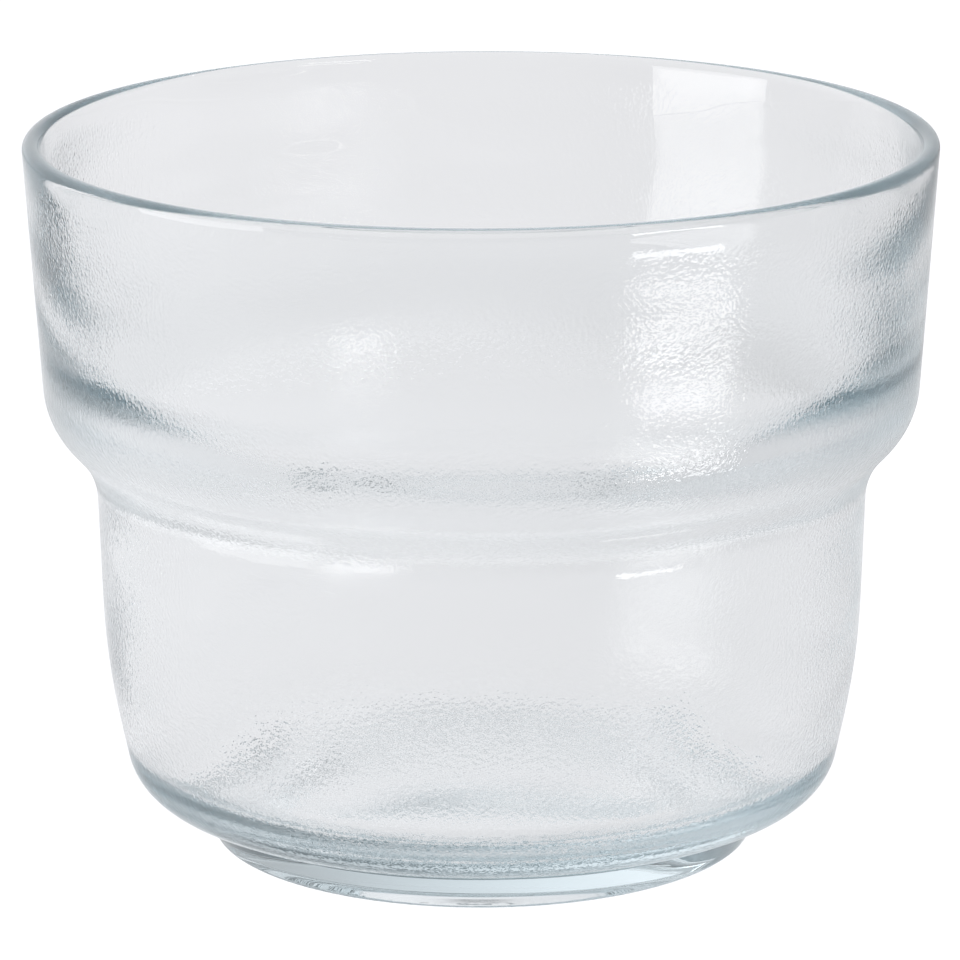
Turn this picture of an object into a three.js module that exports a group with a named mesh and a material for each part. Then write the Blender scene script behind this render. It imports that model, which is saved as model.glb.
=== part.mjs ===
// A stackable drinking cup in clear pressed glass: a wide upper bowl steps in to a narrower
// lower bowl, which stands on a low foot ring. The whole cup is one piece of glass.
// Millimetres, +Z up. The origin is at the centre of the ring that the cup stands on.
import * as THREE from "three";

// Upper bowl
const rimDiameter = 90;
const cupHeight = 71;
const lipThickness = 1.8;
const shoulderDiameter = 86.3;
const shoulderRadius = 8.2;
const upperWall = 3.6;

// Step between the two bowls: how far the shoulder lies above the neck, and how far the inside
// corners lie above the outside ones
const stepHeight = 5.3;
const innerShoulderRise = 6.1;
const innerShoulderRadius = 20;
const innerNeckRise = 2.95;
const innerNeckRadius = 6.8;

// Lower bowl
const neckDiameter = 76.5;
const neckHeight = 38.1;
const neckRadius = 8.5;
const neckWall = 2.9;
const bellyDiameter = 75.2;
const bellyHeight = 18.5;
const bellyRadius = 70;
const bellyWall = 2.6;
const heelDiameter = 69.8;
const heelHeight = 5.6;
const heelRadius = 7.8;
const innerHeelRadius = 4;

// Floor and foot ring: the underside rises within the ring over the width of the slope
const floorThickness = 5.8;
const footTopDiameter = 57.2;
const footHeight = 3.9;
const footDiameter = 53.6;
const footCreaseRadius = 0.8;
const footEdgeRadius = 0.9;
const bearingWidth = 5.4;
const puntDepth = 1.5;
const puntSlope = 3;
const puntEdgeRadius = 4;

// Faceting
const facetsAround = 64;
const chordError = 0.05;
const leastTurn = THREE.MathUtils.degToRad(0.5);

// A corner of an outline: its place across and up, and the radius that rounds it.
function corner(across, up, radius = 0) {
  return { at: new THREE.Vector2(across, up), radius };
}

// The straight line inside the stretch from one corner to the next, a wall's thickness away at each end.
function insetLine(from, to, wallFrom, wallTo) {
  const along = to.at.clone().sub(from.at).normalize();
  const inward = new THREE.Vector2(-along.y, along.x);
  return {
    start: from.at.clone().addScaledVector(inward, wallFrom),
    end: to.at.clone().addScaledVector(inward, wallTo),
  };
}

// A rounded corner on a line, at a given height.
function cornerAt(line, height, radius) {
  const share = (height - line.start.y) / (line.end.y - line.start.y);
  const { x, y } = line.start.clone().lerp(line.end, share);
  return corner(x, y, radius);
}

// The outline through the corners, with each corner's arc laid tangent to both its stretches.
// An arc that would run past the middle of a stretch is made smaller.
function roundedOutline(corners) {
  const points = [corners[0].at];
  for (let i = 1; i < corners.length - 1; i++) {
    const { at, radius } = corners[i];
    const back = corners[i - 1].at.clone().sub(at);
    const ahead = corners[i + 1].at.clone().sub(at);
    const room = Math.min(back.length(), ahead.length()) / 2;
    back.normalize();
    ahead.normalize();
    const turn = Math.PI - Math.acos(THREE.MathUtils.clamp(back.dot(ahead), -1, 1));
    if (radius === 0 || turn < leastTurn) {
      points.push(at);
      continue;
    }
    const reach = Math.min(radius * Math.tan(turn / 2), room);
    const fitted = reach / Math.tan(turn / 2);
    const middle = back.clone().add(ahead).normalize();
    const centre = at.clone().addScaledVector(middle, fitted / Math.cos(turn / 2));
    const start = at.clone().addScaledVector(back, reach);
    const sweep = Math.sign(ahead.cross(back)) * turn;
    const arcStep = 2 * Math.acos(1 - Math.min(chordError / fitted, 1));
    const steps = Math.ceil(turn / arcStep);
    for (let k = 0; k <= steps; k++) {
      points.push(start.clone().rotateAround(centre, (sweep * k) / steps));
    }
  }
  points.push(corners[corners.length - 1].at);
  return points;
}

// The section of the cup, from the middle of its underside, round the outside and over the lip,
// down the inside to the middle of the floor.
function cupSection() {
  const footInside = footDiameter / 2 - bearingWidth;
  const underside = [
    corner(0, puntDepth),
    corner(footInside - puntSlope, puntDepth, puntEdgeRadius),
    corner(footInside, 0),
  ];
  const foot = [
    corner(footDiameter / 2, 0, footEdgeRadius),
    corner(footTopDiameter / 2, footHeight, footCreaseRadius),
  ];
  const heel = corner(heelDiameter / 2, heelHeight, heelRadius);
  const belly = corner(bellyDiameter / 2, bellyHeight, bellyRadius);
  const neck = corner(neckDiameter / 2, neckHeight, neckRadius);
  const shoulderHeight = neckHeight + stepHeight;
  const shoulder = corner(shoulderDiameter / 2, shoulderHeight, shoulderRadius);
  const lipRadius = lipThickness / 2;
  const lipOutside = corner(rimDiameter / 2, cupHeight, lipRadius);
  const lipInside = corner(rimDiameter / 2 - lipThickness, cupHeight, lipRadius);

  const upperInside = insetLine(shoulder, lipOutside, upperWall, lipThickness);
  const lowerInside = insetLine(belly, neck, bellyWall, neckWall);
  const floorHeight = puntDepth + floorThickness;
  const inside = [
    cornerAt(upperInside, shoulderHeight + innerShoulderRise, innerShoulderRadius),
    cornerAt(lowerInside, neckHeight + innerNeckRise, innerNeckRadius),
    cornerAt(lowerInside, floorHeight, innerHeelRadius),
    corner(0, floorHeight),
  ];
  const outside = [heel, belly, neck, shoulder, lipOutside, lipInside];
  return roundedOutline([...underside, ...foot, ...outside, ...inside]);
}

const clearGlass = new THREE.MeshStandardMaterial({
  name: "clear_glass",
  color: new THREE.Color(0.86, 0.9, 0.91),
  roughness: 0.08,
  metalness: 0,
  transparent: true,
  opacity: 0.35,
});

const glassCup = new THREE.Mesh(new THREE.LatheGeometry(cupSection(), facetsAround), clearGlass);
glassCup.name = "glass_cup";
glassCup.rotation.x = Math.PI / 2; // a lathe turns about +Y, and the cup stands along +Z

const cup = new THREE.Group();
cup.add(glassCup);

export default cup;
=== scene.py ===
import math

import bpy
import numpy as np
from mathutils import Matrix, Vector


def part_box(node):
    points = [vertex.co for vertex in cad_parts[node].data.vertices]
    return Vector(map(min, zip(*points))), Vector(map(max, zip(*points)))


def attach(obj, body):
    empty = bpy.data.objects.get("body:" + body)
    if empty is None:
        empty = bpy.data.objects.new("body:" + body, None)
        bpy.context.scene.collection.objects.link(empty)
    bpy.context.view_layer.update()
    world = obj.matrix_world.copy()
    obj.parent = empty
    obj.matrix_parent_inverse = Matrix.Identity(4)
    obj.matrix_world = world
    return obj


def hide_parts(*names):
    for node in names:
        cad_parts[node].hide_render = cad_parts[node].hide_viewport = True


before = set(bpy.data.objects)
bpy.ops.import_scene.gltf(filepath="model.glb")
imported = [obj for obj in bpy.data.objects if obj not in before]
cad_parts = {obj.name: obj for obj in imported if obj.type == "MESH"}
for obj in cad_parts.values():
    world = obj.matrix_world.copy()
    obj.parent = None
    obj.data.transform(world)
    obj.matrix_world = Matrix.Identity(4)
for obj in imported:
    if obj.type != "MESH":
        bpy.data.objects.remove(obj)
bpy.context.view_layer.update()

cupLow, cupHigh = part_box("glass_cup")
print("frame loaded, cup box", tuple(cupLow), tuple(cupHigh))

mm = 0.001


# The cup's glass: one section turned about +Z

glassCup = {
    "rimDiameter": 90.0,          # sizes in mm, as on the part's drawing
    "cupHeight": 71.0,
    "lipThickness": 1.8,
    "shoulderDiameter": 86.3,
    "shoulderRadius": 8.2,
    "upperWall": 3.6,
    "stepHeight": 5.3,
    "innerShoulderRise": 6.1,
    "innerShoulderRadius": 20.0,
    "innerNeckRise": 2.95,
    "innerNeckRadius": 6.8,
    "neckDiameter": 76.5,
    "neckHeight": 38.1,
    "neckRadius": 8.5,
    "neckWall": 2.9,
    "bellyDiameter": 75.2,
    "bellyHeight": 18.5,
    "bellyRadius": 70.0,
    "bellyWall": 2.6,
    "heelDiameter": 69.8,
    "heelHeight": 5.6,
    "heelRadius": 7.8,
    "innerHeelRadius": 4.0,
    "floorThickness": 5.8,
    "footTopDiameter": 57.2,
    "footHeight": 3.9,
    "footCreaseRadius": 0.8,
    "footDiameter": 53.6,
    "footEdgeRadius": 0.9,
    "bearingWidth": 5.4,
    "puntDepth": 1.5,
    "puntSlope": 3.0,
    "puntEdgeRadius": 4.0,
    "stepsAround": 288,
    "stepsAlong": 320,
    "arcStep": 1.5,               # degrees
    "turnWeight": 4.0,            # mm of length that a radian of turning counts for, when points are shared out
}

finishZones = {
    # heights between which a finish comes in or fades out, in mm from the foot's top, the rim,
    # the neck, the shoulder and the standing ring
    "grainOverFoot": (-0.2, 0.8),
    "grainUnderRim": (-4.0, -2.0),
    "hazeOverNeck": (-3.0, 0.0),
    "hazeOverShoulder": (0.0, 4.0),
    "stippleOverRing": (0.02, 0.5),
}


def insetLine(start, end, wallStart, wallEnd):
    # the line from start to end, moved to its left by the wall's thickness at each end
    along = (end - start) / np.linalg.norm(end - start)
    inward = np.array([-along[1], along[0]])
    return start + inward * wallStart, end + inward * wallEnd


def pointAt(line, height):
    # the point of a line at that height
    share = (height - line[0][1]) / (line[1][1] - line[0][1])
    return line[0] + (line[1] - line[0]) * share


def roundedOutline(corners, arcStep):
    # the corners joined by straight stretches, with each corner's arc tangent to both its stretches
    points = [np.array(corners[0][:2])]
    for before, here, after in zip(corners, corners[1:], corners[2:]):
        at = np.array(here[:2])
        back = np.array(before[:2]) - at
        ahead = np.array(after[:2]) - at
        room = min(np.linalg.norm(back), np.linalg.norm(ahead)) / 2
        back = back / np.linalg.norm(back)
        ahead = ahead / np.linalg.norm(ahead)
        turn = math.pi - math.acos(np.clip(back @ ahead, -1, 1))
        if here[2] == 0:
            points.append(at)
            continue
        reach = min(here[2] * math.tan(turn / 2), room)
        middle = (back + ahead) / np.linalg.norm(back + ahead)
        centre = at + middle * reach / math.sin(turn / 2)
        arm = at + back * reach - centre
        sweep = math.copysign(turn, ahead[0] * back[1] - ahead[1] * back[0])
        angles = np.linspace(0, sweep, max(3, math.ceil(math.degrees(turn) / arcStep)))
        arcAcross = centre[0] + arm[0] * np.cos(angles) - arm[1] * np.sin(angles)
        arcUp = centre[1] + arm[0] * np.sin(angles) + arm[1] * np.cos(angles)
        points.extend(np.stack([arcAcross, arcUp], 1))
    points.append(np.array(corners[-1][:2]))
    return np.array(points)


def cupSection(size):
    # the section from the middle of the underside, round the outside and over the lip,
    # down the inside to the middle of the floor
    def point(diameter, height):
        return np.array([diameter / 2, height])

    heel = point(size["heelDiameter"], size["heelHeight"])
    belly = point(size["bellyDiameter"], size["bellyHeight"])
    neck = point(size["neckDiameter"], size["neckHeight"])
    shoulder = point(size["shoulderDiameter"], size["neckHeight"] + size["stepHeight"])
    lipOut = point(size["rimDiameter"], size["cupHeight"])
    lipIn = lipOut - [size["lipThickness"], 0]
    lipRadius = size["lipThickness"] / 2
    upperInside = insetLine(shoulder, lipOut, size["upperWall"], size["lipThickness"])
    lowerInside = insetLine(belly, neck, size["bellyWall"], size["neckWall"])
    innerShoulder = pointAt(upperInside, shoulder[1] + size["innerShoulderRise"])
    innerNeck = pointAt(lowerInside, neck[1] + size["innerNeckRise"])
    floorHeight = size["puntDepth"] + size["floorThickness"]
    footInside = size["footDiameter"] / 2 - size["bearingWidth"]
    corners = [
        (0, size["puntDepth"], 0),
        (footInside - size["puntSlope"], size["puntDepth"], size["puntEdgeRadius"]),
        (footInside, 0, 0),
        (size["footDiameter"] / 2, 0, size["footEdgeRadius"]),
        (size["footTopDiameter"] / 2, size["footHeight"], size["footCreaseRadius"]),
        (*heel, size["heelRadius"]),
        (*belly, size["bellyRadius"]),
        (*neck, size["neckRadius"]),
        (*shoulder, size["shoulderRadius"]),
        (*lipOut, lipRadius),
        (*lipIn, lipRadius),
        (*innerShoulder, size["innerShoulderRadius"]),
        (*innerNeck, size["innerNeckRadius"]),
        (*pointAt(lowerInside, floorHeight), size["innerHeelRadius"]),
        (0, floorHeight, 0),
    ]
    return roundedOutline(corners, size["arcStep"])


def sharedSteps(outline, count, turnWeight):
    # count points along the outline, closer together where it turns: equal steps of length plus turning
    step = np.diff(outline, axis=0)
    length = np.linalg.norm(step, axis=1)
    heading = np.unwrap(np.arctan2(step[:, 1], step[:, 0]))
    turning = np.abs(np.gradient(heading))
    weight = np.concatenate([[0], np.cumsum(length + turnWeight * turning)])
    place = np.linspace(0, weight[-1], count)
    return np.stack([np.interp(place, weight, outline[:, 0]), np.interp(place, weight, outline[:, 1])], 1)


def smoothRise(value, start, end):
    # 0 before start, 1 after end, and an S-curve between them
    share = np.clip((value - start) / (end - start), 0, 1)
    return share * share * (3 - 2 * share)


def turnedMesh(name, outline, around):
    # each outline point carried round the axis: x = r cos a, y = r sin a, z = height; both ends lie on the axis
    ring = outline[1:-1]
    angle = np.arange(around) * 2 * math.pi / around
    x = ring[:, :1] * np.cos(angle)
    y = ring[:, :1] * np.sin(angle)
    z = np.repeat(ring[:, 1:], around, axis=1)
    poles = np.array([[0, 0, outline[0, 1]], [0, 0, outline[-1, 1]]])
    vertices = np.concatenate([np.stack([x, y, z], 2).reshape(-1, 3), poles]) * mm
    first = np.arange(len(ring) - 1)[:, None] * around + np.arange(around)
    beside = np.arange(len(ring) - 1)[:, None] * around + (np.arange(around) + 1) % around
    quads = np.stack([first, beside, beside + around, first + around], 2).reshape(-1, 4)
    here = np.arange(around)
    after = (here + 1) % around
    lastRing = (len(ring) - 1) * around
    under = np.stack([after, here, np.full(around, len(vertices) - 2)], 1)
    over = np.stack([here + lastRing, after + lastRing, np.full(around, len(vertices) - 1)], 1)
    mesh = bpy.data.meshes.new(name)
    mesh.from_pydata(vertices.tolist(), [], quads.tolist() + under.tolist() + over.tolist())
    mesh.polygons.foreach_set("use_smooth", np.ones(len(mesh.polygons), dtype=bool))
    mesh.update()
    return mesh


def markFinish(mesh, outline, size, around):
    # shares of three finishes, each the product of S-curves in height: the mould's grain on the outside walls,
    # haze on the step and stipple on the standing ring
    ring = outline[1:-1]
    up = ring[:, 1]
    outside = np.arange(len(ring)) < np.argmax(up)

    def rise(zone, height=0.0):
        start, end = finishZones[zone]
        return smoothRise(up, height + start, height + end)

    shoulderHeight = size["neckHeight"] + size["stepHeight"]
    aboveFoot = rise("grainOverFoot", size["footHeight"])
    nearLip = rise("grainUnderRim", size["cupHeight"])
    stepFoot = rise("hazeOverNeck", size["neckHeight"])
    stepTop = rise("hazeOverShoulder", shoulderHeight)
    shares = {
        "mould_grain": outside * aboveFoot * (1 - nearLip),
        "step_haze": outside * stepFoot * (1 - stepTop),
        "ring_stipple": outside * (1 - rise("stippleOverRing")),
    }
    for name, share in shares.items():
        layer = mesh.attributes.new(name, "FLOAT", "POINT")
        layer.data.foreach_set("value", np.append(np.repeat(share, around), [0, 0]).astype(np.float32))


outline = sharedSteps(cupSection(glassCup), glassCup["stepsAlong"], glassCup["turnWeight"])
cupMesh = turnedMesh("pressed_cup", outline, glassCup["stepsAround"])
markFinish(cupMesh, outline, glassCup, glassCup["stepsAround"])
pressedCup = bpy.data.objects.new("pressed_cup", cupMesh)
bpy.context.scene.collection.objects.link(pressedCup)
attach(pressedCup, "root")
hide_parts("glass_cup")
print("cup made,", len(cupMesh.polygons), "faces")


# Clear pressed glass

clearGlass = {
    "ior": 1.52,
    "absorbColour": (0.18, 0.46, 0.55, 1.0),
    "absorbDensity": 8.0,         # per metre
    "grainScale": 2500.0,         # grains per metre
    "grainDetail": 1.0,
    "grainHeight": 0.00004,       # metres, as are the other heights
    "grainRoughness": 0.04,
    "hazeRoughness": 0.20,
    "stippleScale": 1800.0,
    "stippleHeight": 0.00012,
    "waveScale": (45.0, 45.0, 150.0),  # slow waves in the wall, closer together upwards
    "waveHeight": 0.0006,
}


def addMath(tree, operation, first, second):
    # one Math node; each side is a number or another node's output
    node = tree.nodes.new("ShaderNodeMath")
    node.operation = operation
    for socket, side in zip(node.inputs, (first, second)):
        if isinstance(side, (int, float)):
            socket.default_value = side
        else:
            tree.links.new(side, socket)
    return node.outputs[0]


def addNoise(tree, place, scale, detail=0.0):
    # noise in the object's own coordinates, with a number of grains per metre along each axis
    grain = tree.nodes.new("ShaderNodeTexNoise")
    grain.inputs["Detail"].default_value = detail
    if isinstance(scale, tuple):
        stretch = tree.nodes.new("ShaderNodeMapping")
        stretch.inputs["Scale"].default_value = scale
        tree.links.new(place, stretch.inputs["Vector"])
        tree.links.new(stretch.outputs["Vector"], grain.inputs["Vector"])
        grain.inputs["Scale"].default_value = 1.0
    else:
        tree.links.new(place, grain.inputs["Vector"])
        grain.inputs["Scale"].default_value = scale
    return grain.outputs["Fac"]


def addZone(tree, name):
    # a share from 0 to 1 that the mesh stores for each of its points
    zone = tree.nodes.new("ShaderNodeAttribute")
    zone.attribute_name = name
    return zone.outputs["Fac"]


def addBump(tree, relief, height, share, under):
    # a layer of relief on top of the one under it; share is a number or a zone
    bump = tree.nodes.new("ShaderNodeBump")
    bump.inputs["Distance"].default_value = height
    tree.links.new(relief, bump.inputs["Height"])
    if isinstance(share, float):
        bump.inputs["Strength"].default_value = share
    else:
        tree.links.new(share, bump.inputs["Strength"])
    if under:
        tree.links.new(under, bump.inputs["Normal"])
    return bump.outputs["Normal"]


def clearGlassMaterial(look):
    # tinted through its depth; waves all over, with grain, haze and stipple in their zones
    material = bpy.data.materials.new("clear_glass_pressed")
    material.use_nodes = True
    tree = material.node_tree
    surface = tree.nodes["Principled BSDF"]
    surface.inputs["Base Color"].default_value = (1, 1, 1, 1)
    surface.inputs["Transmission Weight"].default_value = 1.0
    surface.inputs["IOR"].default_value = look["ior"]
    body = tree.nodes.new("ShaderNodeVolumeAbsorption")
    body.inputs["Color"].default_value = look["absorbColour"]
    body.inputs["Density"].default_value = look["absorbDensity"]
    tree.links.new(body.outputs["Volume"], tree.nodes["Material Output"].inputs["Volume"])
    place = tree.nodes.new("ShaderNodeTexCoord").outputs["Object"]
    walls = addZone(tree, "mould_grain")
    ring = addZone(tree, "ring_stipple")
    wallDull = addMath(tree, "MULTIPLY", walls, look["grainRoughness"])
    stepDull = addMath(tree, "MULTIPLY", addZone(tree, "step_haze"), look["hazeRoughness"])
    tree.links.new(addMath(tree, "MAXIMUM", wallDull, stepDull), surface.inputs["Roughness"])
    wavy = addBump(tree, addNoise(tree, place, look["waveScale"]), look["waveHeight"], 1.0, None)
    grain = addNoise(tree, place, look["grainScale"], look["grainDetail"])
    grained = addBump(tree, grain, look["grainHeight"], walls, wavy)
    stipple = addNoise(tree, place, look["stippleScale"])
    tree.links.new(addBump(tree, stipple, look["stippleHeight"], ring, grained), surface.inputs["Normal"])
    return material


pressedCup.data.materials.append(clearGlassMaterial(clearGlass))
print("glass finished")


# Studio: pale floor, white surroundings, softboxes, camera

studio = {
    "floorRadius": 1.5,           # metres, as are the other lengths
    "floorSegments": 96,
    "floorDrop": 0.00005,         # from the standing ring down to the floor
    "floorColour": 0.86,
    "tint": (0.975, 0.978, 1.0, 1.0),  # faintly cool
    "cameraWhite": 1.05,          # floor and surroundings as the camera sees them: white, for all the tint
    "shadowShare": 0.16,          # how much of the floor that the glass sees is lit, and so shaded
    "glassLift": 0.82,            # what the glass sees on top of that
    "floorFrontPaintedShade": 0.5,            # painted shade: shares of that lift in front of the cup and to its right, where the floor that the glass sees is darkened
    "floorRightPaintedShade": 0.65,
    "paintedShadeFrontFade": (-0.25, 0.05),   # Y of the floor between which the painted shade in front fades
    "paintedShadeRightFade": (-0.05, 0.25),   # X, for the painted shade to the right
    "roomBack": 1.25,             # brightness of the surroundings behind the cup and behind the camera
    "roomFront": 0.4,
    "roomRight": 0.4,             # shares of that brightness to the right and overhead
    "roomTop": 0.6,
    "roomDepthFade": (-0.4, 0.6),      # Y of the direction between which front turns to back
    "roomRightFade": (-0.6, 0.9),      # X, for the right share
    "roomTopFade": (0.35, 0.9),        # Z, for the share overhead
    "cameraDistance": 0.600,
    "cameraElevation": 14.6,      # degrees above the horizon
    "cameraLens": 226.1,          # mm
    "cameraSensor": 36,           # mm
    "aimHeight": 0.0359,
    "shiftX": 0.0024,             # share of the picture's width
    "roll": 0.15,                 # degrees
    "lightBounces": 48,           # enough for light that runs along inside the wall
}

softboxes = {
    # bearing in degrees to the right of the camera, as seen from the cup; lengths in metres, power in watts
    "window": {"bearing": -70, "distance": 0.35, "width": 0.245, "low": 0.0, "high": 0.175, "power": 0.3},
    "lowPanel": {"bearing": 46, "distance": 0.15, "width": 0.06, "low": 0.012, "high": 0.022, "power": 0.013},
}


def addFade(tree, value, limits, first, last):
    # a smooth change from first to last while the value goes from one limit to the other
    node = tree.nodes.new("ShaderNodeMapRange")
    node.interpolation_type = "SMOOTHSTEP"
    node.inputs["From Min"].default_value = limits[0]
    node.inputs["From Max"].default_value = limits[1]
    node.inputs["To Min"].default_value = first
    node.inputs["To Max"].default_value = last
    tree.links.new(value, node.inputs["Value"])
    return node.outputs["Result"]


def floorMaterial(look):
    # the camera sees white; the glass sees a pale floor with painted shade that darkens it to the front and to
    # the right
    material = bpy.data.materials.new("pale_floor")
    material.use_nodes = True
    tree = material.node_tree
    tree.nodes.remove(tree.nodes["Principled BSDF"])
    ray = tree.nodes.new("ShaderNodeLightPath")
    place = tree.nodes.new("ShaderNodeTexCoord")
    side = tree.nodes.new("ShaderNodeSeparateXYZ")
    tree.links.new(place.outputs["Object"], side.inputs[0])
    inGlass = addMath(tree, "MAXIMUM", ray.outputs["Is Glossy Ray"], ray.outputs["Is Transmission Ray"])
    seen = addMath(tree, "MAXIMUM", ray.outputs["Is Camera Ray"], inGlass)
    kept = addMath(tree, "MULTIPLY", seen, look["shadowShare"] - look["floorColour"])
    # painted shade: the glow that the glass sees on the floor is darkened in front of the cup and to its right
    paintedShadeToFront = addFade(tree, side.outputs["Y"], look["paintedShadeFrontFade"], look["floorFrontPaintedShade"], 1)
    paintedShadeToRight = addFade(tree, side.outputs["X"], look["paintedShadeRightFade"], 1, look["floorRightPaintedShade"])
    tone = addMath(tree, "MULTIPLY", addMath(tree, "MULTIPLY", paintedShadeToFront, paintedShadeToRight), look["glassLift"])
    glowWithPaintedShade = addMath(tree, "MULTIPLY", inGlass, tone)
    diffuse = tree.nodes.new("ShaderNodeBsdfDiffuse")
    lift = tree.nodes.new("ShaderNodeEmission")
    both = tree.nodes.new("ShaderNodeAddShader")
    tree.links.new(addMath(tree, "ADD", kept, look["floorColour"]), diffuse.inputs["Color"])
    forCamera = addMath(tree, "MULTIPLY", ray.outputs["Is Camera Ray"], look["cameraWhite"])
    tree.links.new(addMath(tree, "ADD", forCamera, glowWithPaintedShade), lift.inputs["Strength"])
    lift.inputs["Color"].default_value = look["tint"]
    tree.links.new(diffuse.outputs["BSDF"], both.inputs[0])
    tree.links.new(lift.outputs["Emission"], both.inputs[1])
    tree.links.new(both.outputs["Shader"], tree.nodes["Material Output"].inputs["Surface"])
    return material


def roundFloor(look):
    # a flat disc, just under the ring that the cup stands on: x = r cos a, y = r sin a
    segments = look["floorSegments"]
    angle = np.arange(segments) * 2 * math.pi / segments
    rim = np.stack([np.cos(angle), np.sin(angle), np.zeros(segments)], 1) * look["floorRadius"]
    rim[:, 2] = cupLow.z - look["floorDrop"]
    mesh = bpy.data.meshes.new("floor")
    mesh.from_pydata(rim.tolist(), [], [list(range(segments))])
    mesh.materials.append(floorMaterial(look))
    floor = bpy.data.objects.new("floor", mesh)
    bpy.context.scene.collection.objects.link(floor)


def whiteSurroundings(look):
    # the camera sees white; the glass sees a room that is bright behind the cup and darker in front,
    # overhead and to the right
    world = bpy.data.worlds.new("white_room")
    world.use_nodes = True
    tree = world.node_tree
    ray = tree.nodes.new("ShaderNodeLightPath")
    place = tree.nodes.new("ShaderNodeTexCoord")
    side = tree.nodes.new("ShaderNodeSeparateXYZ")
    tree.links.new(place.outputs["Generated"], side.inputs[0])
    depth = addFade(tree, side.outputs["Y"], look["roomDepthFade"], look["roomFront"], look["roomBack"])
    across = addFade(tree, side.outputs["X"], look["roomRightFade"], 1, look["roomRight"])
    upward = addFade(tree, side.outputs["Z"], look["roomTopFade"], 1, look["roomTop"])
    tone = addMath(tree, "MULTIPLY", addMath(tree, "MULTIPLY", depth, across), upward)
    forCamera = addMath(tree, "MULTIPLY", ray.outputs["Is Camera Ray"], look["cameraWhite"])
    notCamera = addMath(tree, "SUBTRACT", 1, ray.outputs["Is Camera Ray"])
    strength = addMath(tree, "ADD", addMath(tree, "MULTIPLY", tone, notCamera), forCamera)
    tree.links.new(strength, tree.nodes["Background"].inputs["Strength"])
    tree.nodes["Background"].inputs["Color"].default_value = look["tint"]
    bpy.context.scene.world = world


def softboxLight(name, box):
    # an upright panel that faces the cup's axis
    bearing = math.radians(box["bearing"])
    lamp = bpy.data.lights.new(name, "AREA")
    lamp.shape = "RECTANGLE"
    lamp.size = box["width"]
    lamp.size_y = box["high"] - box["low"]
    lamp.energy = box["power"]
    holder = bpy.data.objects.new(name, lamp)
    across = box["distance"] * math.sin(bearing)
    towards = -box["distance"] * math.cos(bearing)
    holder.location = (across, towards, (box["low"] + box["high"]) / 2)
    holder.rotation_euler = (math.pi / 2, 0, bearing)
    holder.visible_camera = False
    bpy.context.scene.collection.objects.link(holder)


def photoCamera(look):
    # looks along +Y from the front, down at the aim point on the cup's axis
    elevation = math.radians(look["cameraElevation"])
    camera = bpy.data.cameras.new("camera")
    camera.lens = look["cameraLens"]
    camera.sensor_width = look["cameraSensor"]
    camera.shift_x = look["shiftX"]
    holder = bpy.data.objects.new("camera", camera)
    reach = look["cameraDistance"]
    holder.location = (0, -reach * math.cos(elevation), look["aimHeight"] + reach * math.sin(elevation))
    holder.rotation_euler = (math.pi / 2 - elevation, math.radians(look["roll"]), 0)
    bpy.context.scene.collection.objects.link(holder)
    bpy.context.scene.camera = holder


roundFloor(studio)
whiteSurroundings(studio)
for name, box in softboxes.items():
    softboxLight(name, box)
photoCamera(studio)
scene = bpy.context.scene
scene.view_settings.view_transform = "Standard"
scene.cycles.max_bounces = studio["lightBounces"]
scene.cycles.glossy_bounces = studio["lightBounces"]
scene.cycles.transmission_bounces = studio["lightBounces"]
print("studio ready")
